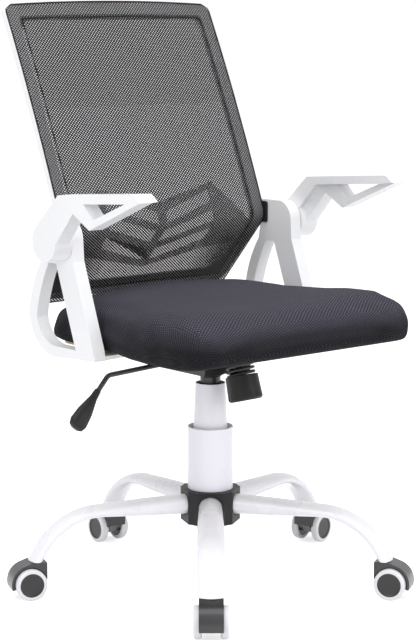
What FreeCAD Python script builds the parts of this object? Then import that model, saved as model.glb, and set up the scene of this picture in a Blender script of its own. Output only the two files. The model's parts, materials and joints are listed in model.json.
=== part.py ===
import FreeCAD, Part
import os
from math import atan, cos, degrees, pi, radians, sin, sqrt, tan
from types import SimpleNamespace

import Sketcher
from FreeCAD import Placement, Rotation, Vector

# Mesh office chair with a five-leg base, gas lift, tilt mechanism and flip-up arms.
# Millimetres. The sitter faces -Y, X points to the sitter's left, Z is up.
# The origin lies on the column axis at the floor.

SIZES = {
    # casters
    "wheel_radius": 25,
    "tread_inner_radius": 19,
    "wheel_inner_face": 14,
    "wheel_outer_face": 27,
    "tread_bevel": 2,
    "hub_dish": 1.5,
    "hub_rim": 4,
    "axle_radius": 3,
    "axle_clearance": 0.06,
    "axle_end": 23,
    "caster_trail": 13,
    "hood_half_width": 18.5,
    "hood_web_half": 13,
    "hood_well_gap": 1.5,
    "hood_shell": 4.5,
    "hood_low": 17,
    "hood_back": 13.5,
    "hood_back_low": 31,
    "hood_top_front": 11,
    "stem_radius": 5.5,
    "stem_clearance": 0.05,
    "stem_in_hood": 17,
    "stem_in_leg": 10,
    "hood_leg_gap": 1,
    # base
    "leg_count": 5,
    "first_leg_turn": -130,
    "stem_circle": 290,
    "leg_tip_height": 59.5,
    "leg_height": 131,
    "leg_root": 26,
    "leg_middle": 112,
    "leg_bend_radius": 115,
    "leg_bend_angle": 62,
    "leg_tip_trim": 9,
    "stem_inset": 1.1,
    "leg_hub_width": 36,
    "leg_hub_depth": 34,
    "leg_middle_width": 40,
    "leg_middle_depth": 28,
    "leg_bend_width": 42,
    "leg_bend_depth": 20,
    "sleeve_radius": 30,
    "sleeve_drop": 34,
    "sleeve_rise": 20,
    "hub_cover_drop": 30,
    "hub_cover_rise": 24,
    "hub_cover_reach": 44,
    "hub_cover_lip": 21,
    "hub_cover_hollow": 4,
    "hub_cover_clearance": 0.3,
    "hub_leg_clearance": 0.9,
    # column
    "column_radius": 22,
    "column_wall": 2,
    "column_low": 84,
    "column_high": 252,
    "column_floor": 3,
    "bush_length": 38,
    "bush_flange": 3,
    "slide_clearance": 0.05,
    "cylinder_radius": 14,
    "cylinder_low": 162,
    "cylinder_wall": 2.5,
    "cylinder_cavity_high": 312,
    "cylinder_end": 5,
    "rod_radius": 5,
    "rod_shoulder_radius": 7,
    "rod_high": 204,
    "piston_length": 12,
    "bearing_radius": 13,
    "bearing_height": 6,
    "clip_radius": 9,
    "clip_height": 2,
    "clip_neck_radius": 4,
    "lower_cover_radius": 36.5,
    "lower_cover_high": 257,
    "lower_cover_rim": 1.5,
    "cover_wall": 1.6,
    "upper_cover_low": 218,
    "upper_cover_high": 328,
    "upper_cover_low_radius": 29,
    "upper_cover_high_radius": 24.2,
    "upper_cover_web_drop": 9,
    # mechanism
    "boss_low": 324,
    "boss_neck_radius": 16.5,
    "boss_neck_high": 338,
    "boss_flare_radius": 33,
    "taper_high": 366,
    "taper_top_radius": 13,
    "housing_half_width": 48,
    "housing_wall": 3,
    "housing_low": 348,
    "housing_high": 387,
    "housing_front": 100,
    "housing_back": 75,
    "housing_back_high": 369,
    "housing_step": 42,
    "axle_y": 20,
    "axle_z": 372,
    "tilt_axle_radius": 6,
    "tilt_axle_head_radius": 9,
    "tilt_axle_head": 3,
    "plate_half_width": 85,
    "plate_front": 102,
    "plate_back": 96,
    "plate_thickness": 3,
    "plate_flange_gap": 1,
    "plate_flange": 3,
    "plate_flange_front": 22,
    "plate_flange_back": 44,
    "plate_lobe_radius": 12,
    "tension_tilt": 16,
    "tension_y": -68.4,
    "tension_z": 376,
    "bolt_radius": 4,
    "bolt_hole_radius": 11,
    "bolt_clearance": 0.05,
    "spring_length": 38,
    "spring_radius": 21,
    "spring_wire_radius": 2.4,
    "spring_turns": 5,
    "spring_gap": 0.4,
    "washer_radius": 23,
    "washer_height": 2.5,
    "knob_radius": 27.5,
    "knob_wall": 2.5,
    "knob_floor": 26,
    "bolt_recess": 3,
    "knob_height": 40,
    "knob_flutes": 20,
    "knob_flute_radius": 1.6,
    "knob_taper": 1.5,
    "lever_y": 38,
    "lever_z": 361,
    "lever_bend_x": 177,
    "lever_bend_z": 355,
    "lever_end_x": 206,
    "lever_end_z": 323,
    "lever_bend_radius": 14,
    "lever_radius": 4,
    "lever_inner_x": 24,
    "lever_bush_radius": 7.5,
    "lever_bush_half": 6,
    "grip_end_x": 243,
    "grip_end_z": 279,
    "grip_overlap": 14,
    "grip_neck_radius": 6.5,
    "grip_width": 32,
    "grip_depth": 21,
    # seat
    "board_low": 395,
    "board_thickness": 8,
    "board_half_width": 190,
    "board_front": 175,
    "board_back": 160,
    "board_corner": 40,
    "cushion_clearance": 0.5,
    "cushion_lift": 1,
    "cushion_front": 250,
    "cushion_back": 190,
    "cushion_high": 472,
    "cushion_side_share": 0.22,
    "screw_radius": 3,
    "screw_head_radius": 6,
    "screw_head": 4,
    "screw_depth": 6,
    "screw_clearance": 0.1,
    "plate_screw_x": 70,
    "plate_screw_front": 84,
    "plate_screw_back": 80,
    "foot_screw_x": 150,
    "foot_screw_front": 16,
    "foot_screw_back": 48,
    # brackets
    "bracket_inner": 216,
    "bracket_thickness": 22,
    "pivot_y": 72,
    "pivot_z": 568,
    "bracket_boss_radius": 33,
    "bracket_boss_front": 25,
    "bracket_lug_y": 124,
    "bracket_lug_low": 556,
    "bracket_foot_front": -8,
    "bracket_foot_thickness": 6,
    "bracket_foot_inner": 128,
    "bracket_knee_y": -4,
    "bracket_knee_z": 406,
    "bracket_neck_y": 45,
    "bracket_neck_z": 538,
    "bracket_tail_y": 97,
    "bracket_tail_z": 384,
    "bracket_rear_y": 162,
    "bracket_rear_z": 446,
    "bracket_rear_top_y": 128,
    "bracket_rear_top_z": 533,
    "bracket_rear_sweep": 190,
    "bracket_corner": 67,
    "loop_front_y": 40,
    "loop_low_z": 401,
    "loop_tail_y": 86,
    "loop_rear_y": 142,
    "loop_rear_z": 444,
    "loop_top_rear_y": 108,
    "loop_top_front_y": 89,
    "loop_top_z": 531,
    "loop_corner": 52,
    "loop_sweep": 260,
    "spacer_front": 104,
    "spacer_low": 562,
    "spacer_height": 36,
    "spacer_corner": 5,
    # back
    "back_half_width": 212,
    "back_top_z": 928,
    "back_top_y": 264,
    "back_crown": 5,
    "back_bow_radius": 3500,
    "back_bend_top_y": 109,
    "back_bend_top_z": 585,
    "back_bend_low_y": 116,
    "back_bend_low_z": 560,
    "back_bend_radius": 27,
    "back_low_y": 200,
    "back_low_z": 455,
    "back_low_half_width": 201,
    "back_corner": 14,
    "frame_depth": 13,
    "frame_side": 24,
    "frame_top": 26,
    "frame_low": 28,
    "window_corner": 20,
    "mesh_thickness": 1.4,
    "mesh_gap": 0.3,
    "lumbar_gap": 9,
    "lumbar_thickness": 4,
    "lumbar_side_gap": 0.3,
    "lumbar_low": 497,
    "lumbar_side_low": 528,
    "lumbar_side_high": 566,
    "lumbar_high": 634,
    "lumbar_shoulder": 118,
    "lumbar_dip": 26,
    "lumbar_rib": 12,
    "lumbar_slot": 20,
    "lumbar_slot_rise": 30,
    "lumbar_spine": 14,
    "lumbar_slot_end": 110,
    # armrests
    "arm_inner": 239,
    "arm_width": 34,
    "arm_low_width": 26,
    "arm_rear_y": 34,
    "arm_rear_z": 643,
    "arm_front_y": -150,
    "arm_rise": 14,
    "arm_tip_y": -166,
    "arm_nose_drop": 11,
    "arm_bar_depth": 12,
    "arm_front_depth": 15,
    "arm_open_front_y": -133,
    "arm_open_rear_y": -28,
    "arm_elbow_y": -44,
    "arm_elbow_drop": 47,
    "arm_elbow_depth": 16,
    "arm_knee_y": -4,
    "arm_knee_drop": 25,
    "arm_hub_radius": 30,
    "arm_band": 13,
    "pin_radius": 6,
    "pin_clearance": 0.05,
    "pin_arm_depth": 26,
    "pin_bracket_depth": 16,
}


class Size:
    """A length, angle or sum of them: its value and the expression that ties it to the sheet."""

    def __init__(self, value, text):
        self.value = value
        self.text = text

    def __add__(self, other):
        other = as_size(other)
        return Size(self.value + other.value, f"({self.text} + {other.text})")

    def __sub__(self, other):
        other = as_size(other)
        return Size(self.value - other.value, f"({self.text} - {other.text})")

    def __mul__(self, other):
        other = as_size(other)
        return Size(self.value * other.value, f"({self.text} * {other.text})")

    def __truediv__(self, other):
        other = as_size(other)
        return Size(self.value / other.value, f"({self.text} / {other.text})")

    def __neg__(self):
        return Size(-self.value, f"(0 - {self.text})")

    def __radd__(self, other):
        return as_size(other) + self

    def __rsub__(self, other):
        return as_size(other) - self

    def __rmul__(self, other):
        return as_size(other) * self

    def __rtruediv__(self, other):
        return as_size(other) / self


def as_size(number):
    if isinstance(number, Size):
        return number
    return Size(float(number), f"{float(number):.6f}")


def sine(angle):
    """Sine of an angle in degrees."""
    angle = as_size(angle)
    return Size(sin(radians(angle.value)), f"sin({angle.text})")


def cosine(angle):
    """Cosine of an angle in degrees."""
    angle = as_size(angle)
    return Size(cos(radians(angle.value)), f"cos({angle.text})")


def arc_tangent(ratio):
    """Angle in degrees whose tangent is given."""
    return Size(degrees(atan(ratio.value)), f"(atan({ratio.text}) / (1 deg))")


def root(size):
    return Size(sqrt(size.value), f"sqrt({size.text})")


def arc_radius(chord, rise):
    """Radius of the arc over a chord that rises by the given height."""
    return chord * chord / (8 * rise) + rise / 2


doc = FreeCAD.newDocument("mesh_office_chair")
sheet = doc.addObject("Spreadsheet::Sheet", "Sizes")
for row, (alias, number) in enumerate(SIZES.items(), start=1):
    sheet.set(f"A{row}", alias)
    sheet.set(f"B{row}", str(number))
    sheet.setAlias(f"B{row}", alias)
doc.recompute()
d = SimpleNamespace(**{alias: Size(float(number), f"Sizes.{alias}") for alias, number in SIZES.items()})

# Heights and lengths that follow from the named sizes
d.sleeve_low = d.leg_height - d.sleeve_drop
d.sleeve_high = d.leg_height + d.sleeve_rise
d.hub_cover_low = d.leg_height - d.hub_cover_drop
d.hub_cover_high = d.leg_height + d.hub_cover_rise
d.leg_bend_end_height = d.leg_height - d.leg_bend_radius * (1 - cosine(d.leg_bend_angle))
d.leg_tip_drop = d.leg_bend_end_height - d.leg_tip_height
d.leg_tail = (d.leg_tip_drop + d.leg_tip_trim) / sine(d.leg_bend_angle)
d.leg_tip_run = d.leg_tip_drop * cosine(d.leg_bend_angle) / sine(d.leg_bend_angle)
d.leg_bend_run = d.leg_bend_radius * sine(d.leg_bend_angle) + d.leg_tip_run
d.leg_bend_start = d.stem_circle + d.stem_inset - d.leg_bend_run
d.arm_front_z = d.arm_rear_z + d.arm_rise
d.arm_tip_z = d.arm_front_z - d.arm_nose_drop
d.arm_elbow_z = d.arm_rear_z - d.arm_elbow_drop
d.arm_knee_z = d.arm_rear_z - d.arm_knee_drop

parts = []
LEFT = 1
RIGHT = -1


def bind(item, path, size):
    """Ties a property to the sheet, or sets a plain number."""
    item.setExpression(path, as_size(size).text)


def place(item, base=(0, 0, 0), axis=Vector(0, 0, 1), turn=None):
    """Places an object at a bound point, turned about an axis."""
    item.Placement = Placement(Vector(0, 0, 0), Rotation(axis, as_size(turn or 0).value))
    for letter, size in zip("xyz", base):
        bind(item, f"Placement.Base.{letter}", size)
    if turn is not None:
        bind(item, "Placement.Rotation.Angle", turn)


def new_body(label):
    body = doc.addObject("PartDesign::Body", label)
    body.Label = label
    parts.append(body)
    return body


def origin_item(body, role):
    return next(item for item in body.Origin.OriginFeatures if item.Role == role)


def draw_arc(item, start, end, radius, side):
    """Draws the shorter arc from start to end, bulging to the left (1) or right (-1) of the way."""
    chord = end - start
    reach = sqrt(max(radius * radius - chord.Length * chord.Length / 4, 0))
    normal = Vector(-chord.y, chord.x, 0).normalize()
    centre = (start + end) * 0.5 - normal * (side * reach)
    first, last = (end, start) if side > 0 else (start, end)
    circle = Part.Circle(centre, Vector(0, 0, 1), radius)
    arc = Part.ArcOfCircle(circle, circle.parameter(first), circle.parameter(last))
    return item.addGeometry(arc, False), (2, 1) if side > 0 else (1, 2)


def tie(item, constraint, size):
    """Adds a constraint and ties it to the sheet."""
    index = item.addConstraint(constraint)
    item.setExpression(f"Constraints[{index}]", as_size(size).text)


def draw_circle(item, x, y, radius):
    x, y, radius = as_size(x), as_size(y), as_size(radius)
    circle = Part.Circle(Vector(x.value, y.value, 0), Vector(0, 0, 1), radius.value)
    edge = item.addGeometry(circle, False)
    tie(item, Sketcher.Constraint("DistanceX", -1, 1, edge, 3, x.value), x)
    tie(item, Sketcher.Constraint("DistanceY", -1, 1, edge, 3, y.value), y)
    tie(item, Sketcher.Constraint("Radius", edge, radius.value), radius)


def draw_loop(item, corners):
    """Draws a closed outline. A corner is (x, y), or (x, y, radius, side) where an arc leaves it."""
    points = [Vector(as_size(corner[0]).value, as_size(corner[1]).value, 0) for corner in corners]
    edges = []
    for index, corner in enumerate(corners):
        start, end = points[index], points[(index + 1) % len(points)]
        if len(corner) == 2:
            edges.append((item.addGeometry(Part.LineSegment(start, end), False), (1, 2)))
        else:
            radius = as_size(corner[2])
            edge, ends = draw_arc(item, start, end, radius.value, corner[3])
            edges.append((edge, ends))
    for index, corner in enumerate(corners):
        edge, ends = edges[index]
        following, following_ends = edges[(index + 1) % len(edges)]
        item.addConstraint(Sketcher.Constraint("Coincident", edge, ends[1], following, following_ends[0]))
        x, y = as_size(corner[0]), as_size(corner[1])
        tie(item, Sketcher.Constraint("DistanceX", -1, 1, edge, ends[0], x.value), x)
        tie(item, Sketcher.Constraint("DistanceY", -1, 1, edge, ends[0], y.value), y)
        if len(corner) > 2:
            radius = as_size(corner[2])
            tie(item, Sketcher.Constraint("Radius", edge, radius.value), radius)


def sketch(body, plane, loops=(), circles=(), height=0):
    """A sketch on one of the body's own origin planes, raised along the plane's normal."""
    item = body.newObject("Sketcher::SketchObject", f"{body.Label}_sketch")
    item.AttachmentSupport = [(origin_item(body, f"{plane}_Plane"), "")]
    item.MapMode = "FlatFace"
    bind(item, "AttachmentOffset.Base.z", height)
    for corners in loops:
        draw_loop(item, corners)
    for circle in circles:
        draw_circle(item, *circle)
    return item


def pad(body, profile, length, symmetric=False, reverse=False):
    item = body.newObject("PartDesign::Pad", f"{body.Label}_pad")
    item.Profile = profile
    item.SideType = "Symmetric" if symmetric else "One side"
    item.Reversed = reverse
    bind(item, "Length", length)
    return item


def pocket(body, profile, length, symmetric=False, reverse=False):
    item = body.newObject("PartDesign::Pocket", f"{body.Label}_pocket")
    item.Profile = profile
    item.SideType = "Symmetric" if symmetric else "One side"
    item.Reversed = reverse
    bind(item, "Length", length)
    return item


def turned(body, loops, kind="PartDesign::Revolution"):
    """Turns outlines of (radius, height) about the body's Z axis."""
    item = body.newObject(kind, f"{body.Label}_turned")
    profile = sketch(body, "XZ", loops)
    item.Profile = profile
    item.ReferenceAxis = (profile, ["V_Axis"])
    item.Angle = 360
    return item


def turned_body(label, *loops):
    body = new_body(label)
    turned(body, loops)
    return body


def polar(body, features, count):
    item = body.newObject("PartDesign::PolarPattern", f"{body.Label}_pattern")
    item.Originals = features
    item.Axis = (origin_item(body, "Z_Axis"), [""])
    item.Angle = 360
    bind(item, "Occurrences", count)
    body.Tip = item
    return item


def loft(body, sections):
    """Straight-sided runs from each section to the next."""
    item = body.newObject("PartDesign::AdditiveLoft", f"{body.Label}_loft")
    item.Profile = sections[0]
    item.Sections = [(section, [""]) for section in sections[1:]]
    item.Ruled = True
    return item


def rectangle(low_x, low_y, high_x, high_y):
    return [(low_x, low_y), (high_x, low_y), (high_x, high_y), (low_x, high_y)]


def rounded_rectangle(low_x, low_y, high_x, high_y, radius):
    return [
        (low_x + radius, low_y),
        (high_x - radius, low_y, radius, -1),
        (high_x, low_y + radius),
        (high_x, high_y - radius, radius, -1),
        (high_x - radius, high_y),
        (low_x + radius, high_y, radius, -1),
        (low_x, high_y - radius),
        (low_x, low_y + radius, radius, -1),
    ]


def oval(width, depth, centre_y=0):
    """An oval of four tangent arcs, as a flattened tube has. The arcs meet where both lean 60 degrees."""
    lean_x, lean_y = cosine(60), sine(60)
    half_width = width / 2
    half_depth = depth / 2
    reach = (half_width - half_depth) / (1 + lean_y / lean_x - 1 / lean_x)
    end = half_width - reach
    flat = half_depth + reach * lean_y / lean_x
    join_x = reach + end * lean_x
    join_y = end * lean_y
    return [
        (join_x, centre_y + join_y, flat, -1),
        (-join_x, centre_y + join_y, end, -1),
        (-join_x, centre_y - join_y, flat, -1),
        (join_x, centre_y - join_y, end, -1),
    ]


# Base

def leg_section(body, distance, height, width, depth, slope=0, lift=0):
    """The leg's oval cross-section, square to the leg. Its sketch's origin lies below it by the lift."""
    item = sketch(body, "YZ", [oval(width, depth, lift)], height=distance)
    item.AttachmentOffset = Placement(Vector(0, 0, 0), Rotation(Vector(1, 0, 0), as_size(slope).value))
    bind(item, "AttachmentOffset.Base.y", height - lift)
    bind(item, "AttachmentOffset.Base.z", distance)
    bind(item, "AttachmentOffset.Rotation.Angle", slope)
    return item


def make_leg(body):
    """One leg: a run that flattens outwards, a bend down and a short straight tip."""
    width, depth, slope = d.leg_bend_width, d.leg_bend_depth, d.leg_bend_angle
    run = loft(body, [
        leg_section(body, d.leg_root, d.leg_height, d.leg_hub_width, d.leg_hub_depth),
        leg_section(body, d.leg_middle, d.leg_height, d.leg_middle_width, d.leg_middle_depth),
        leg_section(body, d.leg_bend_start, d.leg_height, width, depth),
    ])
    section = leg_section(body, d.leg_bend_start, d.leg_height, width, depth, lift=d.leg_bend_radius)
    bend = body.newObject("PartDesign::Revolution", "leg_bend")
    bend.Profile = section
    bend.ReferenceAxis = (section, ["H_Axis"])
    bind(bend, "Angle", slope)
    end_distance = d.leg_bend_start + d.leg_bend_radius * sine(slope)
    tip_section = leg_section(body, end_distance, d.leg_bend_end_height, width, depth, slope)
    tip = pad(body, tip_section, d.leg_tail)
    return [run, bend, tip]


def make_star_base():
    body = new_body("star_base")
    sleeve = sketch(body, "XY", circles=[(0, 0, d.sleeve_radius)], height=d.sleeve_low)
    pad(body, sleeve, d.sleeve_high - d.sleeve_low)
    polar(body, make_leg(body), d.leg_count)
    below_tips = rectangle(d.leg_bend_start, 0, d.stem_circle + d.leg_bend_radius, d.leg_tip_height)
    turned(body, [below_tips], "PartDesign::Groove")
    bore = sketch(body, "XY", circles=[(0, 0, d.column_radius)], height=d.sleeve_low)
    pocket(body, bore, d.sleeve_high - d.sleeve_low, reverse=True)
    socket = sketch(body, "XY", circles=[(d.stem_circle, 0, d.stem_radius)], height=d.leg_tip_height)
    polar(body, [pocket(body, socket, d.stem_in_leg, reverse=True)], d.leg_count)
    place(body, turn=d.first_leg_turn)


def make_hub_cover():
    body = new_body("hub_cover")
    corners = []
    step = 360 / d.leg_count
    for leg in range(int(d.leg_count.value)):
        turn = step * leg
        reach_x, reach_y = d.hub_cover_reach * cosine(turn), d.hub_cover_reach * sine(turn)
        lip_x, lip_y = d.hub_cover_lip * sine(turn), d.hub_cover_lip * cosine(turn)
        corners.append((reach_x + lip_x, reach_y - lip_y))
        corners.append((reach_x - lip_x, reach_y + lip_y, d.hub_cover_hollow * 10, 1))
    outline = sketch(body, "XY", [corners], height=d.hub_cover_low)
    pad(body, outline, d.hub_cover_high - d.hub_cover_low)
    bore_radius = d.sleeve_radius + d.hub_cover_clearance
    bore = sketch(body, "XY", circles=[(0, 0, bore_radius)], height=d.hub_cover_low)
    pocket(body, bore, d.sleeve_high + d.hub_cover_clearance - d.hub_cover_low, reverse=True)
    neck_radius = d.column_radius + d.hub_cover_clearance
    neck = sketch(body, "XY", circles=[(0, 0, neck_radius)], height=d.hub_cover_low)
    pocket(body, neck, d.hub_cover_high - d.hub_cover_low, reverse=True)
    opening = oval(
        d.leg_hub_width + 2 * d.hub_leg_clearance, d.leg_hub_depth + 2 * d.hub_leg_clearance, d.leg_height
    )
    gate = sketch(body, "YZ", [opening])
    polar(body, [pocket(body, gate, d.hub_cover_reach + d.hub_cover_lip, reverse=True)], d.leg_count)
    place(body, turn=d.first_leg_turn)


def leg_turn(leg):
    return d.first_leg_turn + 360 / d.leg_count * leg


def make_caster_stems():
    stems = []
    for leg in range(int(d.leg_count.value)):
        stem = doc.addObject("Part::Cylinder", "caster_stem")
        bind(stem, "Radius", d.stem_radius)
        bind(stem, "Height", d.hood_leg_gap + d.stem_in_hood + d.stem_in_leg)
        turn = leg_turn(leg)
        low = d.leg_tip_height - d.hood_leg_gap - d.stem_in_hood
        place(stem, (d.stem_circle * cosine(turn), d.stem_circle * sine(turn), low))
        stems.append(stem)
    group = doc.addObject("Part::Compound", "caster_stems")
    group.Label = "caster_stems"
    group.Links = stems
    parts.append(group)


# Casters, each drawn with its stem on Z and its trail along X

def place_caster(body, leg):
    turn = leg_turn(leg)
    place(body, (d.stem_circle * cosine(turn), d.stem_circle * sine(turn), 0), turn=turn)


def make_hood(leg):
    label = f"caster_{leg + 1}_hood"
    hood = doc.addObject("PartDesign::Body", f"{label}_shell")
    well_radius = d.wheel_radius + d.hood_well_gap
    crown_radius = well_radius + d.hood_shell
    drop = d.wheel_radius - d.hood_low
    low_x = d.caster_trail + root(crown_radius * crown_radius - drop * drop)
    top = d.leg_tip_height - d.hood_leg_gap
    crown_x = d.caster_trail + crown_radius * cosine(70)
    crown_z = d.wheel_radius + crown_radius * sine(70)
    outline = [
        (0, d.hood_low),
        (low_x, d.hood_low, crown_radius, -1),
        (crown_x, crown_z),
        (d.hood_top_front, top),
        (-d.hood_back, top),
        (-d.hood_back, d.hood_back_low),
    ]
    pad(hood, sketch(hood, "XZ", [outline]), 2 * d.hood_half_width, symmetric=True)
    well_depth = d.hood_half_width - d.hood_web_half
    well = [(d.caster_trail, d.wheel_radius, well_radius)]
    pocket(hood, sketch(hood, "XZ", circles=well, height=d.hood_half_width), well_depth)
    pocket(hood, sketch(hood, "XZ", circles=well, height=-d.hood_half_width), well_depth, reverse=True)
    bore = [(d.caster_trail, d.wheel_radius, d.axle_radius)]
    pocket(hood, sketch(hood, "XZ", circles=bore), 2 * d.hood_half_width, symmetric=True)
    socket = [(0, 0, d.stem_radius + d.stem_clearance)]
    pocket(hood, sketch(hood, "XY", circles=socket, height=top), d.stem_in_hood + d.stem_clearance)
    axle = doc.addObject("Part::Cylinder", f"{label}_axle")
    bind(axle, "Radius", d.axle_radius)
    bind(axle, "Height", 2 * d.axle_end)
    place(axle, (d.caster_trail, d.axle_end, d.wheel_radius), Vector(1, 0, 0), as_size(90))
    pair = doc.addObject("Part::Compound", label)
    pair.Label = label
    pair.Links = [hood, axle]
    parts.append(pair)
    place_caster(pair, leg)


def wheel_body(label, leg, side, loop):
    """A ring turned about the caster's axle. The outline is (radius, distance from the caster's middle)."""
    body = doc.addObject("PartDesign::Body", f"{label}_ring")
    turned(body, [loop])
    place(body, (d.caster_trail, 0, d.wheel_radius), Vector(1, 0, 0), as_size(-90 * side))
    group = doc.addObject("Part::Compound", label)
    group.Label = label
    group.Links = [body]
    parts.append(group)
    place_caster(group, leg)


def make_wheel(leg, side):
    side_name = "left" if side == LEFT else "right"
    inner, outer, bevel = d.wheel_inner_face, d.wheel_outer_face, d.tread_bevel
    tread = [
        (d.tread_inner_radius, inner),
        (d.wheel_radius - bevel, inner),
        (d.wheel_radius, inner + bevel),
        (d.wheel_radius, outer - bevel),
        (d.wheel_radius - bevel, outer),
        (d.tread_inner_radius, outer),
    ]
    wheel_body(f"caster_{leg + 1}_tread_{side_name}", leg, side, tread)
    bore = d.axle_radius + d.axle_clearance
    axle_end = d.axle_end + d.axle_clearance
    hub = [
        (bore, inner),
        (d.tread_inner_radius, inner),
        (d.tread_inner_radius, outer),
        (d.tread_inner_radius - d.hub_rim, outer - d.hub_dish),
        (0, outer - d.hub_dish),
        (0, axle_end),
        (bore, axle_end),
    ]
    wheel_body(f"caster_{leg + 1}_hub_{side_name}", leg, side, hub)


def make_casters():
    for leg in range(int(d.leg_count.value)):
        make_hood(leg)
        make_wheel(leg, LEFT)
        make_wheel(leg, RIGHT)


# Column

def make_column():
    inner = d.column_radius - d.column_wall
    rod_hole = d.rod_radius + d.slide_clearance
    floor_high = d.column_low + d.column_floor
    turned_body("lift_outer_tube", [
        (rod_hole, d.column_low),
        (d.column_radius, d.column_low),
        (d.column_radius, d.column_high),
        (inner, d.column_high),
        (inner, floor_high),
        (rod_hole, floor_high),
    ])
    bush_bore = d.cylinder_radius + d.slide_clearance
    turned_body("guide_bush", [
        (bush_bore, d.column_high - d.bush_length),
        (inner, d.column_high - d.bush_length),
        (inner, d.column_high),
        (d.column_radius, d.column_high),
        (d.column_radius, d.column_high + d.bush_flange),
        (bush_bore, d.column_high + d.bush_flange),
    ])
    bearing_high = floor_high + d.bearing_height
    turned_body("thrust_bearing", rectangle(rod_hole, floor_high, d.bearing_radius, bearing_high))
    clip_high = d.column_low - d.slide_clearance
    clip_low = clip_high - d.clip_height
    piston = d.cylinder_radius - d.cylinder_wall - d.slide_clearance
    shoulder_low = bearing_high + d.slide_clearance
    turned_body("piston_rod", [
        (0, clip_low - d.clip_height),
        (d.rod_radius, clip_low - d.clip_height),
        (d.rod_radius, clip_low),
        (d.clip_neck_radius, clip_low),
        (d.clip_neck_radius, clip_high),
        (d.rod_radius, clip_high),
        (d.rod_radius, shoulder_low),
        (d.rod_shoulder_radius, shoulder_low),
        (d.rod_shoulder_radius, shoulder_low + d.bearing_height),
        (d.rod_radius, shoulder_low + d.bearing_height),
        (d.rod_radius, d.rod_high - d.piston_length),
        (piston, d.rod_high - d.piston_length),
        (piston, d.rod_high),
        (0, d.rod_high),
    ])
    clip = new_body("retaining_clip")
    ring = sketch(clip, "XY", circles=[(0, 0, d.clip_radius), (0, 0, d.clip_neck_radius)], height=clip_low)
    pad(clip, ring, d.clip_height)
    mouth = rectangle(0, -d.clip_neck_radius, d.clip_radius * 2, d.clip_neck_radius)
    pocket(clip, sketch(clip, "XY", [mouth], height=clip_low), d.clip_height, reverse=True)


def make_dust_covers():
    low, high, wall = d.hub_cover_high, d.lower_cover_high, d.cover_wall
    outer = d.lower_cover_radius
    rim = outer + d.lower_cover_rim / 2
    turned_body("lower_dust_cover", [
        (outer - wall, low),
        (outer, low),
        (outer, high - 2 * d.lower_cover_rim),
        (rim, high - 2 * d.lower_cover_rim),
        (rim, high - d.lower_cover_rim / 2),
        (rim - d.lower_cover_rim / 2, high),
        (outer - wall, high),
    ])
    low, high = d.upper_cover_low, d.upper_cover_high
    bottom, top = d.upper_cover_low_radius, d.upper_cover_high_radius
    web_high = high - d.upper_cover_web_drop
    lean = (bottom - top) / (high - low)
    web_radius = top - wall + lean * d.upper_cover_web_drop
    turned_body("upper_dust_cover", [
        (bottom - wall, low),
        (bottom, low),
        (top, high),
        (top - wall, high),
        (web_radius, web_high),
        (d.cylinder_radius, web_high),
        (d.cylinder_radius, web_high - wall),
        (web_radius + lean * wall, web_high - wall),
    ])


def make_gas_cylinder():
    cavity = d.cylinder_radius - d.cylinder_wall
    rod_hole = d.rod_radius + d.slide_clearance
    turned_body("gas_cylinder", [
        (rod_hole, d.cylinder_low),
        (d.cylinder_radius, d.cylinder_low),
        (d.cylinder_radius, d.boss_low),
        (d.taper_top_radius, d.taper_high),
        (0, d.taper_high),
        (0, d.cylinder_cavity_high),
        (cavity, d.cylinder_cavity_high),
        (cavity, d.cylinder_low + d.cylinder_end),
        (rod_hole, d.cylinder_low + d.cylinder_end),
    ])


# Mechanism

def front_floor(distance):
    """Height of the spring's seat under the housing's front, which is square to the tension bolt."""
    slope = sine(d.tension_tilt) / cosine(d.tension_tilt)
    return d.tension_z + (distance + d.tension_y) * slope


def housing_profile(inset):
    """Side outline of the housing, or of its inside where it is drawn in by the wall."""
    front = -d.housing_front + inset
    step = -d.housing_step + inset
    return [
        (step, d.housing_low + inset),
        (d.housing_back - inset, d.housing_low + inset),
        (d.housing_back - inset, d.housing_back_high),
        (d.axle_y, d.housing_high),
        (front, d.housing_high),
        (front, front_floor(d.housing_front) + inset / 2),
        (step - d.housing_wall, front_floor(d.housing_step + d.housing_wall) + inset),
    ]


def make_housing():
    body = new_body("mechanism_housing")
    pad(body, sketch(body, "YZ", [housing_profile(as_size(0))]), 2 * d.housing_half_width, symmetric=True)
    hollow = sketch(body, "YZ", [housing_profile(d.housing_wall)])
    pocket(body, hollow, 2 * (d.housing_half_width - d.housing_wall), symmetric=True)
    floor_high = d.housing_low + d.housing_wall
    turned(body, [[
        (0, d.boss_low),
        (d.boss_neck_radius, d.boss_low),
        (d.boss_neck_radius, d.boss_neck_high),
        (d.boss_flare_radius, d.housing_low),
        (d.boss_flare_radius, floor_high),
        (d.boss_neck_radius + d.housing_wall, d.taper_high),
        (0, d.taper_high),
    ]])
    turned(body, [[
        (0, d.boss_low),
        (d.cylinder_radius, d.boss_low),
        (d.taper_top_radius, d.taper_high),
        (0, d.taper_high),
    ]], "PartDesign::Groove")
    width = 2 * d.housing_half_width
    axle_hole = [(d.axle_y, d.axle_z, d.tilt_axle_radius)]
    pocket(body, sketch(body, "YZ", circles=axle_hole), width, symmetric=True)
    window_half = d.lever_bush_half + d.slide_clearance
    window_rise = d.lever_bush_radius + d.slide_clearance
    window = rectangle(
        d.lever_y - window_half, d.lever_z - window_rise, d.lever_y + window_half, d.lever_z + window_rise
    )
    lever_wall = sketch(body, "YZ", [window], height=-d.housing_half_width)
    pocket(body, lever_wall, d.housing_wall, reverse=True)
    bolt_hole = [(0, d.tension_y, d.bolt_hole_radius)]
    pocket(body, sketch(body, "XY", circles=bolt_hole, height=d.housing_high), d.housing_high - d.housing_low)


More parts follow.
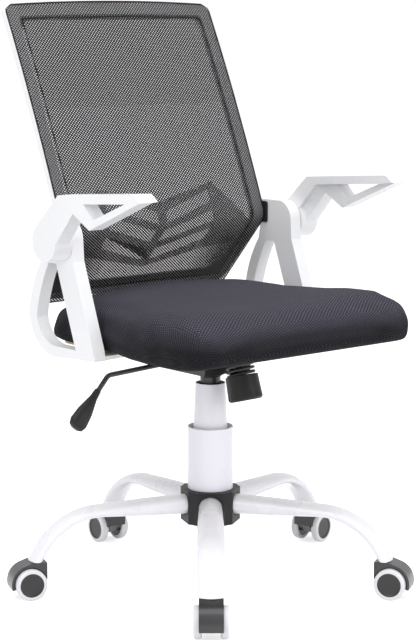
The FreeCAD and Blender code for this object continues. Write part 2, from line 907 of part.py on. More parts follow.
def make_tilt_axle():
    body = new_body("tilt_axle")
    flange = d.housing_half_width + d.plate_flange_gap + d.plate_flange
    end = flange + d.tilt_axle_head
    turned(body, [[
        (0, -end),
        (d.tilt_axle_head_radius, -end),
        (d.tilt_axle_head_radius, -flange - d.slide_clearance),
        (d.tilt_axle_radius, -flange - d.slide_clearance),
        (d.tilt_axle_radius, flange + d.slide_clearance),
        (d.tilt_axle_head_radius, flange + d.slide_clearance),
        (d.tilt_axle_head_radius, end),
        (0, end),
    ]])
    place(body, (0, d.axle_y, d.axle_z), Vector(0, 1, 0), as_size(90))


def make_seat_plate():
    body = new_body("seat_plate")
    plate_low = d.board_low - d.plate_thickness
    outline = rectangle(-d.plate_half_width, -d.plate_front, d.plate_half_width, d.plate_back)
    holes = [(side * d.plate_screw_x, y, d.screw_radius + d.screw_clearance)
             for side in (LEFT, RIGHT) for y in (-d.plate_screw_front, d.plate_screw_back)]
    pad(body, sketch(body, "XY", [outline], holes, height=plate_low), d.plate_thickness)
    lobe = d.plate_lobe_radius
    flange = [
        (d.axle_y - lobe, d.axle_z, lobe * 1.0001, -1),
        (d.axle_y, d.axle_z - lobe, lobe * 1.0001, -1),
        (d.axle_y + lobe, d.axle_z),
        (d.plate_flange_back, plate_low),
        (-d.plate_flange_front, plate_low),
    ]
    hole = [(d.axle_y, d.axle_z, d.tilt_axle_radius + d.slide_clearance)]
    inner = d.housing_half_width + d.plate_flange_gap
    pad(body, sketch(body, "YZ", [flange], hole, height=inner), d.plate_flange)
    pad(body, sketch(body, "YZ", [flange], hole, height=-inner), d.plate_flange, reverse=True)


def place_tension(item):
    place(item, (0, d.tension_y, d.tension_z), Vector(1, 0, 0), -d.tension_tilt)


def spring_top():
    return -d.spring_gap - d.spring_wire_radius


def washer_high():
    return -2 * d.spring_gap - d.spring_length


def knob_low():
    return washer_high() - d.washer_height - d.slide_clearance - d.knob_floor


def make_tension_set():
    bolt_bore = d.bolt_radius + d.bolt_clearance
    bolt_end = knob_low() + d.bolt_recess
    shaft = doc.addObject("PartDesign::Body", "tension_bolt_turned")
    turned(shaft, [[
        (0, bolt_end),
        (d.bolt_radius, bolt_end),
        (d.bolt_radius, d.board_low - d.tension_z + d.plate_thickness),
        (0, d.board_low - d.tension_z + d.plate_thickness),
    ]])
    place_tension(shaft)
    above = doc.addObject("Part::Box", "above_plate")
    for name, length in (("Length", 8), ("Width", 12), ("Height", 8)):
        bind(above, name, length * d.bolt_radius)
    place(above, (-4 * d.bolt_radius, d.tension_y - 4 * d.bolt_radius, d.board_low - d.plate_thickness))
    bolt = doc.addObject("Part::Cut", "tension_bolt")
    bolt.Label = "tension_bolt"
    bolt.Base = shaft
    bolt.Tool = above
    parts.append(bolt)
    washer = turned_body("tension_washer", rectangle(
        bolt_bore, washer_high() - d.washer_height, d.washer_radius, washer_high()
    ))
    place_tension(washer)
    make_knob(bolt_bore)
    make_spring()


def make_knob(bolt_bore):
    knob = new_body("tension_knob")
    low = knob_low()
    floor_high = low + d.knob_floor
    rim = low + d.knob_height
    inner = d.knob_radius - d.knob_wall
    turned(knob, [[
        (bolt_bore, low),
        (d.knob_radius - 2 * d.knob_taper, low),
        (d.knob_radius, low + 2 * d.knob_taper),
        (d.knob_radius - d.knob_taper, rim),
        (inner - d.knob_taper / 2, rim),
        (inner - d.knob_taper / 2, floor_high),
        (bolt_bore, floor_high),
    ]])
    flute_circle = (d.knob_radius + d.knob_flute_radius / 2, 0, d.knob_flute_radius)
    flute = sketch(knob, "XY", circles=[flute_circle], height=low)
    polar(knob, [pocket(knob, flute, d.knob_height, reverse=True)], d.knob_flutes)
    place_tension(knob)


def biarc(start, start_way, end, end_way):
    """Two tangent arcs from one point to another, each leaving along its given way."""
    span = end - start
    both = start_way + end_way
    spread = 2 * (1 - start_way.dot(end_way))
    along = span.dot(both)
    reach = (sqrt(along * along + spread * span.dot(span)) - along) / spread
    middle = (start + start_way * reach + end - end_way * reach) * 0.5
    return [arc_along(start, start_way, middle), arc_along(end, -end_way, middle, True)]


def arc_along(start, way, end, backwards=False):
    """The arc that leaves start along a given way and reaches end."""
    chord = end - start
    side = way - chord * (way.dot(chord) / chord.dot(chord))
    half_turn = way.getAngle(chord) / 2
    crown = (start + end) * 0.5 + side.normalize() * (chord.Length / 2 * tan(half_turn))
    if backwards:
        start, end = end, start
    return Part.Arc(start, crown, end)


def make_spring():
    """An open-wound spring with closed ends' straight tails, as one tube along biarcs of a quarter turn."""
    radius = d.spring_radius.value
    wire = d.spring_wire_radius.value
    turns = int(d.spring_turns.value)
    low = washer_high().value + d.spring_gap.value + wire
    high = spring_top().value
    quarters = 4 * turns
    rise = (high - low) / quarters
    points = []
    ways = []
    for quarter in range(quarters + 1):
        angle = quarter * pi / 2
        points.append(Vector(radius * cos(angle), radius * sin(angle), low + rise * quarter))
        ways.append(Vector(-radius * sin(angle), radius * cos(angle), rise * 2 / pi).normalize())
    tail = 2 * wire
    curves = [Part.LineSegment(points[0] - ways[0] * tail, points[0])]
    for quarter in range(quarters):
        curves += biarc(points[quarter], ways[quarter], points[quarter + 1], ways[quarter + 1])
    curves.append(Part.LineSegment(points[-1], points[-1] + ways[-1] * tail))
    path = Part.Wire([curve.toShape() for curve in curves])
    section = Part.Wire([Part.Circle(points[0] - ways[0] * tail, ways[0], wire).toShape()])
    print("spring, least gap to itself:", round(4 * rise - 2 * wire, 2), "mm")
    spring = doc.addObject("Part::Feature", "tension_spring")
    spring.Label = "tension_spring"
    spring.Shape = Part.Solid(path.makePipeShell([section], True, False).Shells[0])
    parts.append(spring)
    place_tension(spring)


def make_lever():
    """A barrel that rocks in a window of the housing's wall, with the rod sliding across it."""
    body = new_body("lever_bush")
    barrel = sketch(body, "XZ", circles=[(0, 0, d.lever_bush_radius)])
    pad(body, barrel, 2 * d.lever_bush_half, symmetric=True)
    bore = sketch(body, "YZ", circles=[(0, 0, d.lever_radius + d.slide_clearance)])
    pocket(body, bore, 2 * d.lever_bush_radius, symmetric=True)
    wall_x = -d.housing_half_width + d.housing_wall / 2
    lever_slope = arc_tangent((d.lever_z - d.lever_bend_z) / (d.lever_bend_x + wall_x))
    place(body, (wall_x, d.lever_y, d.lever_z), Vector(0, 1, 0), -lever_slope)
    make_lever_rod(wall_x)
    make_grip()


def make_lever_rod(wall_x):
    start_x = -d.lever_inner_x
    slope = (d.lever_z - d.lever_bend_z) / (d.lever_bend_x + wall_x)
    start_z = d.lever_z + slope * (start_x - wall_x)
    body = new_body("lever_rod")
    spine = body.newObject("Sketcher::SketchObject", "lever_spine")
    spine.AttachmentSupport = [(origin_item(body, "XZ_Plane"), "")]
    spine.MapMode = "FlatFace"
    bind(spine, "AttachmentOffset.Base.z", -d.lever_y)
    corners = [(start_x, start_z), (-d.lever_bend_x, d.lever_bend_z), (-d.lever_end_x, d.lever_end_z)]
    draw_bent_line(spine, corners, d.lever_bend_radius)
    section = sketch(body, "YZ", circles=[(d.lever_y, start_z, d.lever_radius)], height=start_x)
    pipe = body.newObject("PartDesign::AdditivePipe", "lever_pipe")
    pipe.Profile = section
    pipe.Spine = spine


def draw_bent_line(item, corners, radius):
    """Two straight runs joined by a tangent arc."""
    start, bend, end = [Vector(as_size(x).value, as_size(y).value, 0) for x, y in corners]
    first_way = (bend - start).normalize()
    second_way = (end - bend).normalize()
    setback = radius.value * tan(first_way.getAngle(second_way) / 2)
    leave, rejoin = bend - first_way * setback, bend + second_way * setback
    first = item.addGeometry(Part.LineSegment(start, leave), False)
    side = 1 if first_way.cross(second_way).z < 0 else -1
    arc, ends = draw_arc(item, leave, rejoin, radius.value, side)
    second = item.addGeometry(Part.LineSegment(rejoin, end), False)
    item.addConstraint(Sketcher.Constraint("Tangent", first, 2, arc, ends[0]))
    item.addConstraint(Sketcher.Constraint("Tangent", arc, ends[1], second, 1))
    tie(item, Sketcher.Constraint("Radius", arc, radius.value), radius)
    corner_x, corner_y = as_size(corners[1][0]), as_size(corners[1][1])
    point = item.addGeometry(Part.Point(bend), True)
    tie(item, Sketcher.Constraint("DistanceX", -1, 1, point, 1, corner_x.value), corner_x)
    tie(item, Sketcher.Constraint("DistanceY", -1, 1, point, 1, corner_y.value), corner_y)
    item.addConstraint(Sketcher.Constraint("PointOnObject", point, 1, first))
    item.addConstraint(Sketcher.Constraint("PointOnObject", point, 1, second))
    for edge, place_on_edge, corner in ((first, 1, corners[0]), (second, 2, corners[2])):
        x, y = as_size(corner[0]), as_size(corner[1])
        tie(item, Sketcher.Constraint("DistanceX", -1, 1, edge, place_on_edge, x.value), x)
        tie(item, Sketcher.Constraint("DistanceY", -1, 1, edge, place_on_edge, y.value), y)


def make_grip():
    """A flat teardrop paddle on the end of the lever, drawn along its own Z and bored for the rod."""
    body = new_body("lever_grip")
    run_x = d.grip_end_x - d.lever_end_x
    run_z = d.lever_end_z - d.grip_end_z
    length = root(run_x * run_x + run_z * run_z)
    neck = 2 * d.grip_neck_radius
    stations = [
        (-d.grip_overlap, neck * 0.8, neck * 0.8),
        (0, neck, neck * 0.9),
        (length * 0.45, d.grip_width * 0.85, d.grip_depth * 0.9),
        (length * 0.8, d.grip_width, d.grip_depth),
        (length * 0.95, d.grip_width * 0.8, d.grip_depth * 0.8),
        (length, d.grip_width * 0.45, d.grip_depth * 0.45),
    ]
    loft(body, [
        sketch(body, "XY", [oval(width, depth)], height=station)
        for station, width, depth in stations
    ])
    bore = sketch(body, "XY", circles=[(0, 0, d.lever_radius)], height=-d.grip_overlap)
    pocket(body, bore, d.grip_overlap, reverse=True)
    lean = arc_tangent(run_x / run_z)
    place(body, (-d.lever_end_x, d.lever_y, d.lever_end_z), Vector(0, 1, 0), 180 + lean)


# Seat

def screw_places():
    """Where the screws go in: x, y and the height that each head bears on."""
    plate_low = d.board_low - d.plate_thickness
    foot_low = d.board_low - d.bracket_foot_thickness
    places = []
    for side in (LEFT, RIGHT):
        for y in (-d.plate_screw_front, d.plate_screw_back):
            places.append((side * d.plate_screw_x, y, plate_low))
        for y in (d.foot_screw_front, d.foot_screw_back):
            places.append((side * d.foot_screw_x, y, foot_low))
    return places


def make_seat_board():
    body = new_body("seat_board")
    outline = rounded_rectangle(
        -d.board_half_width, -d.board_front, d.board_half_width, d.board_back, d.board_corner
    )
    pad(body, sketch(body, "XY", [outline], height=d.board_low), d.board_thickness)
    holes = [(x, y, d.screw_radius) for x, y, bearing in screw_places()]
    drilled = sketch(body, "XY", circles=holes, height=d.board_low)
    pocket(body, drilled, d.screw_depth, reverse=True)


def make_seat_screws():
    screws = []
    for x, y, bearing in screw_places():
        head = doc.addObject("Part::Cylinder", "screw_head")
        bind(head, "Radius", d.screw_head_radius)
        bind(head, "Height", d.screw_head)
        place(head, (x, y, bearing - d.screw_head))
        shank = doc.addObject("Part::Cylinder", "screw_shank")
        bind(shank, "Radius", d.screw_radius)
        bind(shank, "Height", d.board_low + d.screw_depth - bearing)
        place(shank, (x, y, bearing))
        screw = doc.addObject("Part::Fuse", "seat_screw")
        screw.Base = head
        screw.Tool = shank
        screws.append(screw)
    group = doc.addObject("Part::Compound", "seat_screws")
    group.Label = "seat_screws"
    group.Links = screws
    parts.append(group)


def cushion_section(body, y, half_width, low, edge, high):
    """One slice of the cushion: flat underside, drawn-in sides and a crowned top."""
    side_in = (edge - low) * d.cushion_side_share
    corner = half_width - side_in
    side_bulge = arc_radius(edge - low, side_in)
    crown = arc_radius(2 * corner, high - edge)
    outline = [
        (-corner, low),
        (corner, low, side_bulge, -1),
        (corner, edge, crown, -1),
        (-corner, edge, side_bulge, -1),
    ]
    return sketch(body, "XZ", [outline], height=-y)


def make_cushion():
    body = new_body("seat_cushion")
    low = d.board_low + d.cushion_lift
    high = d.cushion_high
    front, back = -d.cushion_front, d.cushion_back
    seat_half = d.bracket_inner - 4
    sections = [
        cushion_section(body, front, d.board_half_width, low + 24, high - 38, high - 31),
        cushion_section(body, front + 9, d.board_half_width + 23, low + 12, high - 27, high - 18),
        cushion_section(body, front + 30, d.board_half_width + 38, low + 5, high - 14, high - 8),
        cushion_section(body, front + 70, d.board_half_width + 45, low + 1, high - 8, high - 3),
        cushion_section(body, front + 130, d.board_half_width + 46, low, high - 6, high - 1),
        cushion_section(body, front + 190, seat_half + 16, low, high - 9, high),
        cushion_section(body, front + 250, seat_half, low, high - 10, high),
        cushion_section(body, back - 60, seat_half - 4, low, high - 14, high - 2),
        cushion_section(body, back - 18, seat_half - 20, low + 1, high - 24, high - 10),
        cushion_section(body, back, seat_half - 46, low + 10, high - 42, high - 28),
    ]
    loft(body, sections)
    gap = d.cushion_clearance
    recess = rounded_rectangle(
        -d.board_half_width - gap,
        -d.board_front - gap,
        d.board_half_width + gap,
        d.board_back + gap,
        d.board_corner + gap,
    )
    below = d.board_low - d.board_thickness
    pocket(body, sketch(body, "XY", [recess], height=below), 2 * d.board_thickness + gap, reverse=True)


# Brackets and arms

def side_start(inner, thickness, side):
    """Lower x of a slab that lies between inner and inner + thickness on one side of the chair."""
    return inner if side == LEFT else -inner - thickness


def make_bracket(side):
    body = new_body("side_bracket_left" if side == LEFT else "side_bracket_right")
    boss = d.bracket_boss_radius
    boss_top = d.pivot_z + boss
    outline = [
        (d.bracket_foot_front, d.board_low - d.bracket_foot_thickness),
        (d.bracket_tail_y, d.bracket_tail_z, d.bracket_corner, -1),
        (d.bracket_rear_y, d.bracket_rear_z, d.bracket_rear_sweep, -1),
        (d.bracket_rear_top_y, d.bracket_rear_top_z),
        (d.bracket_lug_y, d.bracket_lug_low),
        (d.bracket_lug_y - 4, boss_top),
        (d.pivot_y, boss_top, boss, -1),
        (d.pivot_y - d.bracket_boss_front, d.pivot_z),
        (d.bracket_neck_y, d.bracket_neck_z),
        (d.bracket_knee_y, d.bracket_knee_z),
    ]
    loop = [
        (d.loop_front_y, d.loop_low_z),
        (d.loop_tail_y, d.loop_low_z, d.loop_corner, -1),
        (d.loop_rear_y, d.loop_rear_z, d.loop_sweep, -1),
        (d.loop_top_rear_y, d.loop_top_z),
        (d.loop_top_front_y, d.loop_top_z),
    ]
    start = side_start(d.bracket_inner, d.bracket_thickness, side)
    pad(body, sketch(body, "YZ", [outline, loop], height=start), d.bracket_thickness)
    outer = d.bracket_inner + d.bracket_thickness
    foot = [
        (side * outer, d.bracket_foot_front),
        (side * outer, d.bracket_tail_y),
        (side * d.bracket_inner, d.bracket_tail_y),
        (side * d.bracket_foot_inner, d.foot_screw_back + 2 * d.screw_head_radius),
        (side * d.bracket_foot_inner, d.foot_screw_front - 2 * d.screw_head_radius),
    ]
    holes = [(side * d.foot_screw_x, y, d.screw_radius + d.screw_clearance)
             for y in (d.foot_screw_front, d.foot_screw_back)]
    foot_low = d.board_low - d.bracket_foot_thickness
    pad(body, sketch(body, "XY", [foot], holes, height=foot_low), d.bracket_foot_thickness)
    pin_hole = [(d.pivot_y, d.pivot_z, d.pin_radius)]
    pin_start = outer if side == LEFT else -outer
    drilled = sketch(body, "YZ", circles=pin_hole, height=pin_start)
    pocket(body, drilled, d.pin_bracket_depth, reverse=side == RIGHT)


def make_pivot_pins():
    pins = []
    outer = d.bracket_inner + d.bracket_thickness
    for side in (LEFT, RIGHT):
        pin = doc.addObject("Part::Cylinder", "arm_pivot_pin")
        bind(pin, "Radius", d.pin_radius)
        bind(pin, "Height", d.pin_bracket_depth + (d.arm_inner - outer) + d.pin_arm_depth)
        start = (side * (outer - d.pin_bracket_depth), d.pivot_y, d.pivot_z)
        place(pin, start, Vector(0, 1, 0), as_size(90 * side))
        pins.append(pin)
    group = doc.addObject("Part::Compound", "arm_pivot_pins")
    group.Label = "arm_pivot_pins"
    group.Links = pins
    parts.append(group)


def make_spacers():
    spacers = []
    for side in (LEFT, RIGHT):
        body = doc.addObject("PartDesign::Body", "back_spacer")
        outline = rounded_rectangle(
            d.spacer_front,
            d.spacer_low,
            d.bracket_lug_y - 4,
            d.spacer_low + d.spacer_height,
            d.spacer_corner,
        )
        thickness = d.bracket_inner - d.back_half_width
        start = side_start(d.back_half_width, thickness, side)
        pad(body, sketch(body, "YZ", [outline], height=start), thickness)
        spacers.append(body)
    group = doc.addObject("Part::Compound", "back_spacers")
    group.Label = "back_spacers"
    group.Links = spacers
    parts.append(group)


def make_armrest(side):
    body = new_body("armrest_left" if side == LEFT else "armrest_right")
    hub = d.arm_hub_radius
    hub_side = hub * 0.72
    upper = [
        (d.arm_tip_y, d.arm_tip_z),
        (d.arm_open_front_y, d.arm_front_z - d.arm_front_depth),
        (d.arm_open_rear_y + 40, d.arm_rear_z - d.arm_bar_depth),
        (d.pivot_y - hub_side + d.arm_band, d.pivot_z + hub_side - d.arm_band),
        (d.pivot_y + hub_side, d.pivot_z + hub_side),
        (d.arm_rear_y, d.arm_rear_z),
        (d.arm_front_y, d.arm_front_z),
    ]
    elbow_top = d.arm_elbow_z + d.arm_elbow_depth
    lower = [
        (d.arm_tip_y, d.arm_tip_z),
        (d.arm_elbow_y, d.arm_elbow_z),
        (d.arm_knee_y, d.arm_knee_z),
        (d.pivot_y - hub_side, d.pivot_z - hub_side / 2),
        (d.pivot_y + hub_side / 2, d.pivot_z + hub_side),
        (d.arm_open_rear_y + 42, d.arm_rear_z - d.arm_bar_depth + 2),
        (d.arm_open_rear_y, d.arm_rear_z - d.arm_bar_depth + 4),
        (d.arm_elbow_y - 9, elbow_top),
        (d.arm_open_front_y, d.arm_front_z - d.arm_front_depth + 1),
    ]
    outer = d.arm_inner + d.arm_width
    upper_start = side_start(d.arm_inner, d.arm_width, side)
    lower_start = side_start(outer - d.arm_low_width, d.arm_low_width, side)
    pad(body, sketch(body, "YZ", [upper], height=upper_start), d.arm_width)
    pad(body, sketch(body, "YZ", [lower], height=lower_start), d.arm_low_width)
    disc = [(d.pivot_y, d.pivot_z, hub)]
    pad(body, sketch(body, "YZ", circles=disc, height=upper_start), d.arm_width)
    bore_start = d.arm_inner if side == LEFT else -d.arm_inner
    bore = [(d.pivot_y, d.pivot_z, d.pin_radius + d.pin_clearance)]
    drilled = sketch(body, "YZ", circles=bore, height=bore_start)
    pocket(body, drilled, d.pin_arm_depth + d.pin_clearance, reverse=side == LEFT)


# Back

def back_strip(shift, depth):
    """Side outline of a layer of the back: its front face lies behind the sitter's line by shift."""
    front = [
        (d.back_top_y + shift, d.back_top_z + 2 * d.back_crown, d.back_bow_radius, -1),
        (d.back_bend_top_y + shift, d.back_bend_top_z, d.back_bend_radius, -1),
        (d.back_bend_low_y + shift, d.back_bend_low_z),
        (d.back_low_y + shift, d.back_low_z),
    ]
    rear = [
        (d.back_low_y + shift + depth, d.back_low_z),
        (d.back_bend_low_y + shift + depth, d.back_bend_low_z, d.back_bend_radius, 1),
        (d.back_bend_top_y + shift + depth, d.back_bend_top_z, d.back_bow_radius, 1),
        (d.back_top_y + shift + depth, d.back_top_z + 2 * d.back_crown),
    ]
    return front + rear


def back_outline():
    """Front outline of the back, with rounded corners and a crowned top."""
    half, low_half, corner = d.back_half_width, d.back_low_half_width, d.back_corner
    top = d.back_top_z
    return [
        (half - corner, top, arc_radius(2 * (half - corner), d.back_crown), -1),
        (-half + corner, top, corner * 1.0001, -1),
        (-half, top - corner),
        (-half, d.back_bend_low_z),
        (-low_half, d.back_low_z + corner, corner * 1.5, -1),
        (-low_half + corner, d.back_low_z),
        (low_half - corner, d.back_low_z, corner * 1.5, -1),
        (low_half, d.back_low_z + corner),
        (half, d.back_bend_low_z),
        (half, top - corner, corner * 1.0001, -1),
    ]


def trim_frame():
    """A rectangle well outside the back, so that what lies between it and an outline is cut away."""
    reach = d.back_half_width * 1.5
    return rectangle(-reach, d.back_low_z - reach, reach, d.back_top_z + reach)


def make_back_frame():
    body = new_body("back_frame")
    strip = sketch(body, "YZ", [back_strip(d.mesh_thickness + d.mesh_gap, d.frame_depth)])
    pad(body, strip, 2 * d.back_half_width, symmetric=True)
    side = d.back_half_width - d.frame_side
    low_side = d.back_low_half_width - d.frame_side
    corner = d.window_corner
    low, top = d.back_low_z + d.frame_low, d.back_top_z - d.frame_top
    window = [
        (side - corner, top),
        (-side + corner, top, corner * 1.0001, -1),
        (-side, top - corner),
        (-side, d.back_bend_low_z),
        (-low_side, low + corner),
        (-low_side + corner, low),
        (low_side - corner, low),
        (low_side, low + corner),
        (side, d.back_bend_low_z),
        (side, top - corner, corner * 1.0001, -1),
    ]
    trimmed = sketch(body, "XZ", [trim_frame(), back_outline(), window])
    pocket(body, trimmed, 4 * d.back_half_width, symmetric=True)


def make_back_mesh():
    body = new_body("back_mesh")
    strip = sketch(body, "YZ", [back_strip(as_size(0), d.mesh_thickness)])
    pad(body, strip, 2 * d.back_half_width, symmetric=True)
    pocket(body, sketch(body, "XZ", [trim_frame(), back_outline()]), 4 * d.back_half_width, symmetric=True)


def lumbar_slot(side, low):
    """A slanted slot between two chevron ribs, on one side of the spine."""
    inner, outer = side * d.lumbar_spine / 2, side * d.lumbar_slot_end
    rise = d.lumbar_slot_rise
    return [
        (inner, low),
        (outer, low + rise),
        (outer, low + rise + d.lumbar_slot),
        (inner, low + d.lumbar_slot),
    ]


def make_lumbar():
    body = new_body("lumbar_support")
    shift = d.mesh_thickness + d.lumbar_gap
    strip = sketch(body, "YZ", [back_strip(shift, d.lumbar_thickness)])
    pad(body, strip, 2 * d.back_half_width, symmetric=True)
    end = d.back_half_width - d.frame_side - d.lumbar_side_gap
    shoulder = d.lumbar_shoulder
    outline = [
        (0, d.lumbar_high - d.lumbar_dip),
        (-shoulder, d.lumbar_high),
        (-end, d.lumbar_side_high),
        (-end + 10, d.lumbar_side_low),
        (-shoulder, d.lumbar_low + d.lumbar_dip),
        (0, d.lumbar_low),
        (shoulder, d.lumbar_low + d.lumbar_dip),
        (end - 10, d.lumbar_side_low),
        (end, d.lumbar_side_high),
        (shoulder, d.lumbar_high),
    ]
    pitch = d.lumbar_rib + d.lumbar_slot
    slot_lows = [d.lumbar_low + d.lumbar_rib + pitch * row for row in range(3)]
    slots = [lumbar_slot(side, low) for side in (LEFT, RIGHT) for low in slot_lows]
    pocket(body, sketch(body, "XZ", [trim_frame(), outline] + slots), 4 * d.back_half_width, symmetric=True)


def check_and_export():
    """Writes each sub-part to its file once every object is sound."""
    doc.recompute()
    failed = [item.Label for item in doc.Objects if {"Invalid", "Error"} & set(item.State)]
    for item in parts:
        shape = item.Shape
        if shape.isNull() or not shape.isValid() or not shape.Solids:
            failed.append(item.Label)
    if failed:
        raise RuntimeError(f"these did not build: {failed}")
    os.makedirs("parts", exist_ok=True)
    for item in parts:
        item.Shape.exportStep(f"parts/{item.Label}.step")


make_star_base()
make_hub_cover()
make_caster_stems()
make_casters()
make_column()
make_dust_covers()
make_gas_cylinder()
make_housing()
make_tilt_axle()
make_seat_plate()
make_tension_set()
make_lever()
make_seat_board()
make_seat_screws()
make_cushion()
for chair_side in (LEFT, RIGHT):
    make_bracket(chair_side)
    make_armrest(chair_side)
make_pivot_pins()
make_spacers()
make_back_frame()
make_back_mesh()
make_lumbar()
check_and_export()
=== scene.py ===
import json
import math

import bmesh
import bpy
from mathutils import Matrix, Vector


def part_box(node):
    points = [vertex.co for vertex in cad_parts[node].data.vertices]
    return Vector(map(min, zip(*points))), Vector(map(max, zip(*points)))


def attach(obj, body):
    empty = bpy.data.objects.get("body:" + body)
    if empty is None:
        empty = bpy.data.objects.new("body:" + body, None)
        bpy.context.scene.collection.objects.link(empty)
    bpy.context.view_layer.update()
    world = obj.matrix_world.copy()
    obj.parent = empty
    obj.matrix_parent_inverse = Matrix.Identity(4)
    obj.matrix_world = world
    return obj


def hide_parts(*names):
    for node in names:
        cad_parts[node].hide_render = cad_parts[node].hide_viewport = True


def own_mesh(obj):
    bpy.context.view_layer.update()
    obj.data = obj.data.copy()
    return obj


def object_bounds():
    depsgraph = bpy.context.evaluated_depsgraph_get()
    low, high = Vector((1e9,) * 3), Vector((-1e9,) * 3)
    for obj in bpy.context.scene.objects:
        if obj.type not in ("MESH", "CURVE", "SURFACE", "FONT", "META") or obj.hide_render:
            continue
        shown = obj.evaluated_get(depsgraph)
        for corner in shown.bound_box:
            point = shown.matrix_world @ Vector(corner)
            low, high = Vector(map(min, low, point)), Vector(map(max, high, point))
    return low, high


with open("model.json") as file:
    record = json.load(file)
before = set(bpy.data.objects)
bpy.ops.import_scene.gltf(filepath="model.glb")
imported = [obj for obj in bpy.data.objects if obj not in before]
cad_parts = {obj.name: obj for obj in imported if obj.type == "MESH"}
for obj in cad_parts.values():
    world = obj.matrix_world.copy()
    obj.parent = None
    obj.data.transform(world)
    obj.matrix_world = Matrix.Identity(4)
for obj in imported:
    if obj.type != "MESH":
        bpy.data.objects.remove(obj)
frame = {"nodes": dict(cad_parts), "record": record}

# Mesh office chair: finishes, stuffed seat, spring, woven back, studio and camera.
# Lengths are in metres, and ways and places are (x, y, z) unless a comment says otherwise.

cad_low, cad_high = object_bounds()
nodes = frame["nodes"]


# Shader helpers

NOISE_RANGE = (0.3, 0.7)  # where most of a noise's values lie


def tint(red, green, blue):
    return (red, green, blue, 1.0)


def set_inputs(tree, item, inputs):
    """Fills a node's inputs from numbers or from other nodes' outputs."""
    for key, value in inputs.items():
        if isinstance(value, bpy.types.NodeSocket):
            tree.links.new(value, item.inputs[key])
        else:
            item.inputs[key].default_value = value


def shade(tree, kind, inputs=None, **settings):
    """Adds a shader node with its settings and inputs."""
    item = tree.nodes.new(kind)
    for name, value in settings.items():
        setattr(item, name, value)
    set_inputs(tree, item, inputs or {})
    return item


def start_material(name):
    """A new material with one principled surface: returns material, tree, surface."""
    made = bpy.data.materials.new(name)
    made.use_nodes = True
    tree = made.node_tree
    return made, tree, tree.nodes["Principled BSDF"]


def maths(tree, operation, first, second=0.0, third=0.0):
    """The result of one sum on numbers or outputs."""
    inputs = {0: first, 1: second, 2: third}
    return shade(tree, "ShaderNodeMath", inputs, operation=operation).outputs[0]


def vector_maths(tree, operation, inputs):
    return shade(tree, "ShaderNodeVectorMath", inputs, operation=operation).outputs


def attribute(tree, name):
    return shade(tree, "ShaderNodeAttribute", attribute_name=name).outputs


def blend_colours(tree, factor, first, second):
    """A colour part of the way from the first to the second."""
    inputs = {0: factor, 6: first, 7: second}
    return shade(tree, "ShaderNodeMix", inputs, data_type="RGBA").outputs[2]


def span(tree, value, low, high, to_low=0.0, to_high=1.0):
    """Maps a range of values onto another, held at its ends."""
    inputs = {
        "Value": value, "From Min": low, "From Max": high, "To Min": to_low, "To Max": to_high,
    }
    return shade(tree, "ShaderNodeMapRange", inputs).outputs[0]


def place_in_object(tree):
    return shade(tree, "ShaderNodeTexCoord").outputs["Object"]


def stretched_place(tree, scale):
    inputs = {"Vector": place_in_object(tree), "Scale": scale}
    return shade(tree, "ShaderNodeMapping", inputs).outputs[0]


def noise(tree, place, scale, detail=2.0):
    inputs = {"Vector": place, "Scale": scale, "Detail": detail}
    return shade(tree, "ShaderNodeTexNoise", inputs).outputs[0]


def wave(tree, place, way, pitch):
    """A smooth ripple from 0 to 1 along a direction, one per pitch."""
    along = vector_maths(tree, "DOT_PRODUCT", {0: place, 1: way})["Value"]
    turn = maths(tree, "MULTIPLY", along, 2 * math.pi / pitch)
    return maths(tree, "MULTIPLY_ADD", maths(tree, "SINE", turn), 0.5, 0.5)


def raise_bump(tree, surface, height, depth, strength=1.0):
    inputs = {"Height": height, "Distance": depth, "Strength": strength}
    bump = shade(tree, "ShaderNodeBump", inputs)
    tree.links.new(bump.outputs[0], surface.inputs["Normal"])


# Finishes of hard pieces

CLOUD_SCALE = 14.0
CLOUD_SHARE = 0.75  # share of the cloud in the tone, the rest is the specks'
COAT_ROUGHNESS = 0.15


def moulded(name, dark, light, gloss, grain, depth, coat=0.0, specular=0.5, clear=0.0):
    """A moulded or painted finish: cloudy tone, uneven gloss and a fine grain.

    Gloss is the least and the most roughness, grain the fineness of the specks, and depth
    how far the specks stand out.
    """
    made, tree, surface = start_material(name)
    place = place_in_object(tree)
    cloud = noise(tree, place, CLOUD_SCALE, 4.0)
    speck = noise(tree, place, grain, 3.0)
    from_cloud = maths(tree, "MULTIPLY", cloud, CLOUD_SHARE)
    from_speck = maths(tree, "MULTIPLY", speck, 1 - CLOUD_SHARE)
    tone = span(tree, maths(tree, "ADD", from_cloud, from_speck), *NOISE_RANGE)
    set_inputs(tree, surface, {
        "Base Color": blend_colours(tree, tone, dark, light),
        "Roughness": span(tree, cloud, *NOISE_RANGE, *gloss),
        "Specular IOR Level": specular,
        "Transmission Weight": clear,
        "Coat Weight": coat,
        "Coat Roughness": COAT_ROUGHNESS,
    })
    raise_bump(tree, surface, speck, depth)
    return made


def brushed_steel(name):
    """Bare turned steel with fine rings along its height."""
    made, tree, surface = start_material(name)
    rings = noise(tree, stretched_place(tree, (40.0, 40.0, 2500.0)), 1.0, 3.0)
    set_inputs(tree, surface, {
        "Base Color": blend_colours(tree, rings, tint(0.42, 0.42, 0.43), tint(0.62, 0.62, 0.63)),
        "Roughness": span(tree, rings, 0.2, 0.8, 0.22, 0.42),
        "Metallic": 1.0,
    })
    raise_bump(tree, surface, rings, depth=0.00002)
    return made


